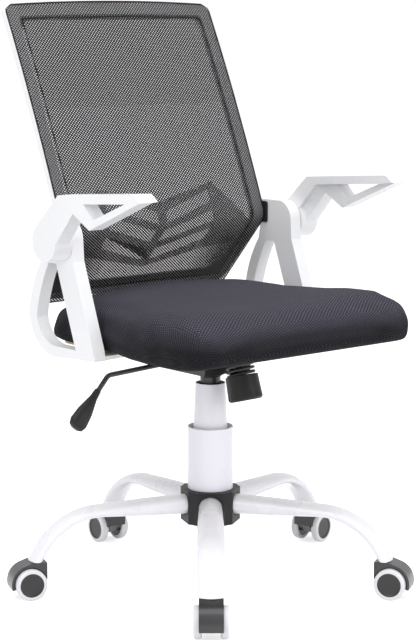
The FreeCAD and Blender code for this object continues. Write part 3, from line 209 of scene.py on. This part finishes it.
def plywood(name):
    """Birch ply: long grain with darker streaks."""
    made, tree, surface = start_material(name)
    grain = noise(tree, stretched_place(tree, (14.0, 160.0, 700.0)), 1.0, 6.0)
    streak = span(tree, grain, *NOISE_RANGE)
    set_inputs(tree, surface, {
        "Base Color": blend_colours(tree, streak, tint(0.42, 0.28, 0.16), tint(0.68, 0.52, 0.34)),
        "Roughness": 0.7,
    })
    raise_bump(tree, surface, grain, depth=0.0002)
    return made


# Finishes of the two fabrics. Rows and ties of threads are (way, pitch).

SEAT_ROWS = ((0.457, 0.89, 0.0), 0.0038)
SEAT_TIES = ((0.55, -0.83, 0.0), 0.0039)
SEAT_SWAY = 0.0012  # how far the threads stray
SEAT_PAINTED_LIGHT_FACING = (0.02, 0.85)  # painted light: how far a point faces up, from the painted shade of the side band to the painted light on the top
SEAT_PILE_DEPTH = 0.0009

BACK_ROWS = ((0.617, 0.787, 0.0), 0.00365)
BACK_TIES = ((0.679, -0.734, 0.0), 0.00388)
BACK_ROW_COVER = 0.71  # a ripple is thread up to this height, and open above it
BACK_TIE_COVER = 0.60
BACK_BORDER = (0.0225, 0.0235)  # distance from the edge at which the looser border ends
BACK_BORDER_COVER = -0.27  # change of cover in the border
BACK_CORNER_OUT = (0.09, 0.15)  # distance from the middle at which the closer lower corners begin
BACK_CORNER_HEIGHT = (0.53, 0.57)
BACK_CORNER_COVER = 0.25
BACK_SKIRT_HEIGHT = (0.455, 0.575)
BACK_SKIRT_COVER = 0.05
BACK_SEAM = 0.0275  # the seam's distance from the edge
BACK_SEAM_HALF_WIDTH = 0.001
BACK_HEM = 0.003
BACK_YARN_DEPTH = 0.0006


def seat_fabric(name):
    """Spacer fabric: a close grid of small raised loops, with painted shade on the side band and
    painted light on the top.
    """
    made, tree, surface = start_material(name)
    place = place_in_object(tree)
    stray = shade(tree, "ShaderNodeTexNoise", {"Vector": place, "Scale": 25.0}).outputs["Color"]
    sway = vector_maths(tree, "SCALE", {0: stray, "Scale": SEAT_SWAY})[0]
    woven = vector_maths(tree, "ADD", {0: attribute(tree, "laid")["Vector"], 1: sway})[0]
    loops = maths(tree, "MULTIPLY", wave(tree, woven, *SEAT_ROWS), wave(tree, woven, *SEAT_TIES))
    fibre = noise(tree, place, 2600.0, 2.0)
    cloud = noise(tree, place, 16.0, 3.0)
    pile = maths(tree, "MULTIPLY_ADD", fibre, 0.25, loops)
    # Loops paler than the gaps: partly the yarn's own pattern, partly painted glint on the loops
    # and painted shade in the gaps.
    loop_pattern_and_glint = span(tree, pile, 0.25, 0.95)
    # Painted light: the top is paler and the side band darker by how far each point faces up, as
    # lamps from above would light them.
    painted_lit_top = blend_colours(tree, loop_pattern_and_glint, tint(0.034, 0.033, 0.043), tint(0.120, 0.116, 0.152))
    painted_shaded_side = blend_colours(tree, loop_pattern_and_glint, tint(0.010, 0.0095, 0.0115), tint(0.023, 0.0215, 0.026))
    painted_light_share = span(tree, attribute(tree, "upward")["Fac"], *SEAT_PAINTED_LIGHT_FACING)
    wear = span(tree, cloud, 0.35, 0.75, 0.0, 0.15)
    painted_light_colour = blend_colours(tree, painted_light_share, painted_shaded_side, painted_lit_top)
    set_inputs(tree, surface, {
        "Base Color": blend_colours(tree, wear, painted_light_colour, tint(0.034, 0.034, 0.042)),
        "Roughness": span(tree, loops, 0.0, 1.0, 0.95, 0.7),
        "Sheen Weight": 0.02,
        "Sheen Roughness": 0.5,
        "Specular IOR Level": 0.08,
    })
    raise_bump(tree, surface, pile, SEAT_PILE_DEPTH, strength=0.7)
    return made


def weave_gaps(tree, rows, ties):
    """One in the gaps of the back's weave and nought on its threads.

    The border is looser, the skirt and the lower corners are closer, and seam and hem are shut.
    """
    from_edge = attribute(tree, "from_edge")["Fac"]
    across, _, height = shade(tree, "ShaderNodeSeparateXYZ", {0: place_in_object(tree)}).outputs
    outward = span(tree, maths(tree, "ABSOLUTE", across), *BACK_CORNER_OUT)
    low = span(tree, height, *BACK_CORNER_HEIGHT, BACK_CORNER_COVER, 0.0)
    corner = maths(tree, "MULTIPLY", outward, low)
    border = span(tree, from_edge, *BACK_BORDER, BACK_BORDER_COVER, 0.0)
    skirt = span(tree, height, *BACK_SKIRT_HEIGHT, BACK_SKIRT_COVER, 0.0)
    change = maths(tree, "ADD", border, corner)
    row_cover = maths(tree, "ADD", maths(tree, "ADD", change, skirt), BACK_ROW_COVER)
    tie_cover = maths(tree, "ADD", change, BACK_TIE_COVER)
    from_seam = maths(tree, "ABSOLUTE", maths(tree, "SUBTRACT", from_edge, BACK_SEAM))
    gap = maths(tree, "GREATER_THAN", rows, row_cover)
    for is_open in (
        maths(tree, "GREATER_THAN", ties, tie_cover),
        maths(tree, "GREATER_THAN", from_seam, BACK_SEAM_HALF_WIDTH),
        maths(tree, "GREATER_THAN", from_edge, BACK_HEM),
    ):
        gap = maths(tree, "MULTIPLY", gap, is_open)
    return gap


def back_weave(name):
    """Open weave of black yarn with slanting rows of gaps."""
    made, tree, surface = start_material(name)
    spot = shade(tree, "ShaderNodeUVMap", uv_map="cut").outputs[0]
    rows = wave(tree, spot, *BACK_ROWS)
    ties = wave(tree, spot, *BACK_TIES)
    fibre = noise(tree, place_in_object(tree), 1800.0, 2.0)
    dark, light = tint(0.006, 0.006, 0.0065), tint(0.028, 0.028, 0.030)
    set_inputs(tree, surface, {
        "Base Color": blend_colours(tree, fibre, dark, light),
        "Alpha": maths(tree, "SUBTRACT", 1.0, weave_gaps(tree, rows, ties)),
        "Roughness": span(tree, fibre, 0.2, 0.8, 0.55, 0.8),
        "Specular IOR Level": 0.12,
    })
    yarn = maths(tree, "MULTIPLY", rows, ties)
    raise_bump(tree, surface, yarn, BACK_YARN_DEPTH, strength=0.6)
    return made


# By material slot. The dust covers share a slot with other pieces but are tinted on their own.
FINISHES = {
    "white_steel": moulded(
        "white_powder_coat", dark=tint(0.86, 0.86, 0.91), light=tint(0.92, 0.92, 0.96),
        gloss=(0.22, 0.34), grain=900.0, depth=0.00004, coat=0.4,
    ),
    "white_plastic": moulded(
        "white_moulding", dark=tint(0.87, 0.87, 0.885), light=tint(0.92, 0.92, 0.93),
        gloss=(0.28, 0.42), grain=1500.0, depth=0.00003, coat=0.1,
    ),
    "black_plastic": moulded(
        "black_moulding", dark=tint(0.006, 0.006, 0.007), light=tint(0.016, 0.016, 0.018),
        gloss=(0.38, 0.54), grain=1400.0, depth=0.00006, specular=0.3,
    ),
    "dust_cover": moulded(
        "cover_moulding", dark=tint(0.86, 0.855, 0.93), light=tint(0.91, 0.905, 0.97),
        gloss=(0.28, 0.42), grain=1500.0, depth=0.00003, coat=0.1,
    ),
    "grey_plastic": moulded(
        "frosted_moulding", dark=tint(0.80, 0.80, 0.81), light=tint(0.88, 0.88, 0.89),
        gloss=(0.6, 0.75), grain=1400.0, depth=0.00003, clear=0.8,
    ),
    "caster_plastic": moulded(
        "caster_nylon", dark=tint(0.012, 0.012, 0.014), light=tint(0.028, 0.028, 0.031),
        gloss=(0.22, 0.4), grain=1200.0, depth=0.00004, coat=0.2,
    ),
    "wheel_hub": moulded(
        "wheel_nylon", dark=tint(0.010, 0.010, 0.011), light=tint(0.024, 0.024, 0.026),
        gloss=(0.3, 0.45), grain=1200.0, depth=0.00004,
    ),
    "white_tread": moulded(
        "white_tread", dark=tint(0.74, 0.74, 0.76), light=tint(0.84, 0.84, 0.86),
        gloss=(0.4, 0.55), grain=1100.0, depth=0.00005,
    ),
    "bush_plastic": moulded(
        "bush_acetal", dark=tint(0.70, 0.68, 0.62), light=tint(0.80, 0.78, 0.72),
        gloss=(0.4, 0.55), grain=1000.0, depth=0.00003,
    ),
    "black_steel": moulded(
        "black_paint", dark=tint(0.008, 0.008, 0.009), light=tint(0.022, 0.022, 0.024),
        gloss=(0.25, 0.42), grain=800.0, depth=0.00005, coat=0.15,
    ),
    "bare_steel": brushed_steel("turned_steel"),
    "plywood": plywood("birch_ply"),
    "seat_fabric": seat_fabric("spacer_fabric"),
    "back_mesh": back_weave("open_weave"),
}


# CAD pieces that are shown as they are

WELD_REACH = 0.00001
FLAT_ANGLE = math.radians(0.5)  # facets closer than this are one flat
SHARP_ANGLE = math.radians(38)  # edges sharper than this are rounded

# Width of the edge rounding, by the start of the piece's name
EDGE_ROUNDING = {
    "side_bracket": 0.0025,
    "armrest": 0.0025,
    "back_frame": 0.003,
    "back_spacers": 0.001,
    "hub_cover": 0.0015,
    "lower_dust_cover": 0.0005,
    "upper_dust_cover": 0.0004,
    "tension_knob": 0.0006,
    "mechanism_housing": 0.001,
    "lumbar_support": 0.001,
    "star_base": 0.0008,
    "caster_": 0.0007,
}


def set_finish(item, finish):
    item.data.materials.clear()
    item.data.materials.append(FINISHES[finish])


def round_edges(item, width):
    """Softens the hard edges of a CAD piece with modifiers, so that its own mesh stays as it is."""
    weld = item.modifiers.new("weld", "WELD")
    weld.merge_threshold = WELD_REACH
    flat = item.modifiers.new("flat", "DECIMATE")
    flat.decimate_type = "DISSOLVE"
    flat.angle_limit = FLAT_ANGLE
    edge = item.modifiers.new("edge", "BEVEL")
    edge.width = width
    edge.segments = 3
    edge.limit_method = "ANGLE"
    edge.angle_limit = SHARP_ANGLE
    edge.miter_outer = "MITER_ARC"
    normals = item.modifiers.new("normals", "WEIGHTED_NORMAL")
    normals.keep_sharp = True


def finish_cad_pieces():
    slot_of = {part["node"]: part["material_slot"] for part in frame["record"]["subparts"]}
    for name, item in nodes.items():
        set_finish(item, "dust_cover" if name.endswith("dust_cover") else slot_of[name])
        for start, width in EDGE_ROUNDING.items():
            if name.startswith(start):
                round_edges(item, width)


# Seat cushion

CUSHION_VOXEL = 0.005
CUSHION_RIM = 0.012  # height of the lower rim, which stays on its board
CUSHION_INSET = 0.001  # how far the cover starts inside the CAD cushion
CUSHION_BRIM = 0.015  # depth below the top at which the cover turns down
STUFFING_PRESSURE = 4.0
STUFFING_MOST = 0.008  # farthest that a point may swell
STUFFING_FRAMES = 20
PLUMP_DEPTH = 0.007
PLUMP_FORWARD = (-0.08, -0.18)  # y from where to where the plumping grows
PLUMP_OUTWARD = (0.06, 0.17)  # distance from the middle, likewise
PLUMP_RISE = 0.02  # height above the rim, likewise
PLUMP_FRONT_SHARE = 0.25  # share of the plumping that pushes forward


def mesh_object(name, mesh):
    item = bpy.data.objects.new(name, mesh)
    bpy.context.scene.collection.objects.link(item)
    return item


def evaluated_mesh(item):
    graph = bpy.context.evaluated_depsgraph_get()
    return bpy.data.meshes.new_from_object(item.evaluated_get(graph))


def apply_modifiers(item):
    item.data = evaluated_mesh(item)
    item.modifiers.clear()


def stuffed(item, rim):
    """Swells a closed cover by cloth simulation. Points below the rim stay where they are."""
    start = [vertex.co.copy() for vertex in item.data.vertices]
    held = item.vertex_groups.new(name="held")
    held.add([index for index, point in enumerate(start) if point.z < rim], 1.0, "REPLACE")
    cloth = item.modifiers.new("cloth", "CLOTH")
    cloth.settings.use_pressure = True
    cloth.settings.uniform_pressure_force = STUFFING_PRESSURE
    cloth.settings.vertex_group_mass = "held"
    cloth.settings.effector_weights.gravity = 0.0
    cloth.point_cache.frame_start = 1
    cloth.point_cache.frame_end = STUFFING_FRAMES
    for step in range(1, STUFFING_FRAMES + 1):
        bpy.context.scene.frame_set(step)
    swollen = evaluated_mesh(item)
    item.modifiers.remove(cloth)
    for vertex, before in zip(swollen.vertices, start):
        move = vertex.co - before
        if move.length > STUFFING_MOST:
            vertex.co = before + move.normalized() * STUFFING_MOST
    item.data = swollen
    bpy.context.scene.frame_set(1)


def share_of_way(value, start, end):
    """How far a value has come from start to end, from 0 to 1."""
    return min(max((value - start) / (end - start), 0.0), 1.0)


def ease(item, rounds):
    """Draws each point towards its neighbours, which takes out small dents."""
    smooth = item.modifiers.new("ease", "SMOOTH")
    smooth.factor = 0.5
    smooth.iterations = rounds
    apply_modifiers(item)


def plump_front_corners(item, rim):
    """Fills the cover out towards its two front corners, where the foam is thickest."""
    moves = []
    for vertex in item.data.vertices:
        forward = share_of_way(vertex.co.y, *PLUMP_FORWARD)
        outward = share_of_way(abs(vertex.co.x), *PLUMP_OUTWARD)
        upward = share_of_way(vertex.co.z, rim, rim + PLUMP_RISE)
        normal = vertex.normal
        way = Vector((normal.x, PLUMP_FRONT_SHARE * normal.y, normal.z))
        moves.append(way * PLUMP_DEPTH * forward * outward * upward)
    for vertex, move in zip(item.data.vertices, moves):
        vertex.co += move


def mark_cover(mesh, brim):
    """Notes on each point how far it faces up, which places the seat's painted light and shade, and
    its place with the sides folded out flat.
    """
    upward, laid = [], []
    for vertex in mesh.vertices:
        place, normal = vertex.co, vertex.normal
        drop = max(brim - place.z, 0.0)
        upward.append(normal.z)
        laid += [place.x + normal.x * drop, place.y + normal.y * drop, 0.0]
    mesh.attributes.new("upward", "FLOAT", "POINT").data.foreach_set("value", upward)
    mesh.attributes.new("laid", "FLOAT_VECTOR", "POINT").data.foreach_set("vector", laid)


def make_cushion():
    item = mesh_object("seat_cushion_cover", nodes["seat_cushion"].data.copy())
    remesh = item.modifiers.new("remesh", "REMESH")
    remesh.mode = "VOXEL"
    remesh.voxel_size = CUSHION_VOXEL
    apply_modifiers(item)
    low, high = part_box("seat_cushion")
    rim = low.z + CUSHION_RIM
    for vertex in item.data.vertices:
        if vertex.co.z > rim:
            vertex.co -= vertex.normal * CUSHION_INSET
    stuffed(item, rim)
    ease(item, 12)
    plump_front_corners(item, rim)
    ease(item, 8)
    smooth = item.modifiers.new("smooth", "SUBSURF")
    smooth.levels = 1
    smooth.render_levels = 1
    item.data.polygons.foreach_set("use_smooth", [True] * len(item.data.polygons))
    mark_cover(item.data, high.z - CUSHION_BRIM)
    set_finish(item, "seat_fabric")
    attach(item, "seat")
    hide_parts("seat_cushion")


# Tension spring


def make_spring():
    """The spring, which goes with the seat."""
    item = mesh_object("tension_spring_coil", nodes["tension_spring"].data.copy())
    set_finish(item, "black_steel")
    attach(item, "seat")
    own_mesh(item)
    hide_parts("tension_spring")


# Woven back

BACK_HALF_WIDTH = 0.212
BACK_LOW_HALF_WIDTH = 0.201
BACK_LOW_Z = 0.449
BACK_BEND_Z = 0.560
BACK_TOP_Z = 0.928
BACK_CROWN = 0.005  # rise of the top edge at its middle
BACK_CROWN_REACH = 0.1  # length over which that rise dies out
BACK_CORNER_RADIUS = 0.014
BACK_LOW_CORNER_RADIUS = 0.005
BACK_COLUMNS = 84
MESH_MIDDLE = 0.0007  # from the side line to the middle of the mesh's thickness

# Side line (y, z): a long bow, a tight bend and a straight skirt, with the steps along each
LINE_TOP = (0.264, 0.938)
LINE_BEND_TOP = (0.109, 0.585)
LINE_BEND_LOW = (0.116, BACK_BEND_Z)
LINE_LOW = (0.2048, BACK_LOW_Z)
BOW_RADIUS, BOW_STEPS = 3.5, 60
BEND_RADIUS, BEND_STEPS = 0.027, 10
SKIRT_STEPS = 30


def arc_between(start, end, radius, side, count):
    """Points (y, z) on the shorter arc from start to end, bulging left (1) or right (-1)."""
    first, last = Vector(start), Vector(end)
    chord = last - first
    normal = Vector((-chord.y, chord.x)).normalized()
    rise = math.sqrt(radius ** 2 - (chord.length / 2) ** 2)
    centre = (first + last) / 2 - normal * side * rise
    arm = first - centre
    sweep = arm.angle_signed(last - centre)
    points = []
    for step in range(count):
        angle = -sweep * step / count
        points.append((
            centre.x + arm.x * math.cos(angle) - arm.y * math.sin(angle),
            centre.y + arm.x * math.sin(angle) + arm.y * math.cos(angle),
        ))
    return points


def back_line():
    """The back's side line (y, z) from its top down."""
    points = arc_between(LINE_TOP, LINE_BEND_TOP, BOW_RADIUS, -1, BOW_STEPS)
    points += arc_between(LINE_BEND_TOP, LINE_BEND_LOW, BEND_RADIUS, -1, BEND_STEPS)
    (bend_y, bend_z), (low_y, low_z) = LINE_BEND_LOW, LINE_LOW
    for step in range(SKIRT_STEPS + 1):
        share = step / SKIRT_STEPS
        points.append((bend_y + (low_y - bend_y) * share, bend_z + (low_z - bend_z) * share))
    return points


def half_width_at(z):
    """Half the back's width at a height, without its rounded corners."""
    if z >= BACK_BEND_Z:
        return BACK_HALF_WIDTH
    share = (z - BACK_LOW_Z) / (BACK_BEND_Z - BACK_LOW_Z)
    return BACK_LOW_HALF_WIDTH + (BACK_HALF_WIDTH - BACK_LOW_HALF_WIDTH) * max(share, 0.0)


def depth_at(line, z):
    """The back's y at a height."""
    for (y_high, z_high), (y_low, z_low) in zip(line, line[1:]):
        if z_low <= z <= z_high:
            return y_low + (y_high - y_low) * (z - z_low) / (z_high - z_low)
    return line[-1][0] if z < line[-1][1] else line[0][0]


def rounded_x(x, z, half):
    """Draws a point in where the sheet's corners are rounded."""
    reach = BACK_CORNER_RADIUS if z > BACK_BEND_Z else BACK_LOW_CORNER_RADIUS
    over = max(z - (BACK_TOP_Z - reach), (BACK_LOW_Z + reach) - z, 0.0)
    inset = reach - math.sqrt(max(reach ** 2 - min(over, reach) ** 2, 0.0))
    return x * (half - inset) / half


def back_rows(line):
    """Heights of the sheet's rows from its top down, and the length along the sheet to each."""
    heights = [z for _, z in line if z <= BACK_TOP_Z]
    heights[0] = BACK_TOP_Z
    lengths = [0.0]
    for upper, lower in zip(heights, heights[1:]):
        step = math.hypot(upper - lower, depth_at(line, upper) - depth_at(line, lower))
        lengths.append(lengths[-1] + step)
    return heights, lengths


def make_back_mesh():
    """The stretched sheet, with its flat cut as UV map and each point's distance from the edge."""
    line = back_line()
    heights, lengths = back_rows(line)
    mesh = bmesh.new()
    cut = mesh.loops.layers.uv.new("cut")
    edge_layer = mesh.verts.layers.float.new("from_edge")
    grid = []
    flat_place = {}
    for z_flat, along in zip(heights, lengths):
        row = []
        half = half_width_at(z_flat)
        for column in range(BACK_COLUMNS + 1):
            x_flat = half * (2 * column / BACK_COLUMNS - 1)
            fade = max(0.0, 1 - along / BACK_CROWN_REACH)
            z = z_flat + BACK_CROWN * (1 - (x_flat / half) ** 2) * fade
            x = rounded_x(x_flat, z_flat, half)
            vertex = mesh.verts.new((x, depth_at(line, z) + MESH_MIDDLE, z))
            vertex[edge_layer] = min(half - abs(x), along, lengths[-1] - along)
            flat_place[vertex] = (x, -along)
            row.append(vertex)
        grid.append(row)
    for upper, lower in zip(grid, grid[1:]):
        for column in range(BACK_COLUMNS):
            corners = (upper[column], lower[column], lower[column + 1], upper[column + 1])
            face = mesh.faces.new(corners)
            face.smooth = True
            for loop in face.loops:
                loop[cut].uv = flat_place[loop.vert]
    sheet = bpy.data.meshes.new("back_mesh_cover")
    mesh.to_mesh(sheet)
    mesh.free()
    item = mesh_object("back_mesh_cover", sheet)
    set_finish(item, "back_mesh")
    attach(item, "seat")
    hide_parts("back_mesh")


# Studio

FLOOR_SIZE = 12.0
FLOOR_GAP = 0.0005  # below the lowest piece
FLOOR_GLOW = 0.62
WORLD_COLOUR = tint(0.96, 0.97, 1.0)
WORLD_STRENGTH = 0.55

# Name, place, aim, (width, height), watts
LIGHTS = (
    ("overhead", (-0.3, -0.3, 3.0), (0, 0, 0.4), (3.0, 3.0), 60.0),
    ("front_left", (-2.8, -1.2, 1.8), (0, 0, 0.5), (1.6, 2.0), 23.0),
    ("front_right", (0.9, -3.0, 1.6), (0, 0, 0.5), (1.6, 2.0), 28.0),
)

CAMERA_PLACE = (-2.024, -2.390, 0.930)
CAMERA_DOWN = 9.09  # degrees below level
CAMERA_TURN = -40.19  # degrees about the vertical
CAMERA_LENS, CAMERA_SENSOR = 111.62, 36.0  # millimetres


def seen_background(tree):
    """One for rays that show the backdrop: to the camera, in a gloss or through a clear piece."""
    path = shade(tree, "ShaderNodeLightPath").outputs
    either = maths(tree, "MAXIMUM", path["Is Camera Ray"], path["Is Glossy Ray"])
    return maths(tree, "MAXIMUM", either, path["Is Transmission Ray"])


def show_backdrop(tree, output, loop_pattern_and_glint, seen):
    """Gives an output one shader for lighting the chair and another for the backdrop."""
    inputs = {0: seen_background(tree), 1: loop_pattern_and_glint.outputs[0], 2: seen.outputs[0]}
    mixed = shade(tree, "ShaderNodeMixShader", inputs)
    tree.links.new(mixed.outputs[0], tree.nodes[output].inputs["Surface"])


def make_floor():
    """A plain pale floor, which glows a little where it is seen, so that it runs into the white."""
    made, tree, surface = start_material("studio_floor")
    cloud = noise(tree, place_in_object(tree), 1.5, 2.0)
    set_inputs(tree, surface, {
        "Base Color": blend_colours(tree, cloud, tint(0.90, 0.90, 0.90), tint(0.93, 0.93, 0.93)),
        "Roughness": 0.9,
        "Specular IOR Level": 0.1,
    })
    glow = shade(tree, "ShaderNodeEmission", {"Color": tint(1, 1, 1), "Strength": FLOOR_GLOW})
    glowing = shade(tree, "ShaderNodeAddShader", {0: surface.outputs[0], 1: glow.outputs[0]})
    show_backdrop(tree, "Material Output", surface, glowing)
    mesh = bmesh.new()
    bmesh.ops.create_grid(mesh, x_segments=4, y_segments=4, size=FLOOR_SIZE)
    data = bpy.data.meshes.new("floor")
    mesh.to_mesh(data)
    mesh.free()
    floor = mesh_object("floor", data)
    floor.location.z = cad_low.z - FLOOR_GAP
    floor.data.materials.append(made)


def make_world():
    world = bpy.data.worlds.new("studio")
    bpy.context.scene.world = world
    world.use_nodes = True
    tree = world.node_tree
    soft = tree.nodes["Background"]
    set_inputs(tree, soft, {"Color": WORLD_COLOUR, "Strength": WORLD_STRENGTH})
    white = shade(tree, "ShaderNodeBackground", {"Color": tint(1, 1, 1), "Strength": 1.0})
    show_backdrop(tree, "World Output", soft, white)


def soft_light(name, place, aim, size, power):
    light = bpy.data.lights.new(name, "AREA")
    light.shape = "RECTANGLE"
    light.size, light.size_y = size
    light.energy = power
    item = bpy.data.objects.new(name, light)
    item.location = place
    item.rotation_euler = (Vector(aim) - Vector(place)).to_track_quat("-Z", "Y").to_euler()
    bpy.context.scene.collection.objects.link(item)


def make_studio():
    make_floor()
    make_world()
    for light in LIGHTS:
        soft_light(*light)


def make_camera():
    camera = bpy.data.cameras.new("camera")
    camera.sensor_width = CAMERA_SENSOR
    camera.lens = CAMERA_LENS
    item = bpy.data.objects.new("camera", camera)
    item.location = CAMERA_PLACE
    item.rotation_euler = (math.radians(90 - CAMERA_DOWN), 0.0, math.radians(CAMERA_TURN))
    bpy.context.scene.collection.objects.link(item)
    bpy.context.scene.camera = item


finish_cad_pieces()
make_cushion()
make_spring()
make_back_mesh()
make_studio()
make_camera()
bpy.context.scene.view_settings.view_transform = "Standard"
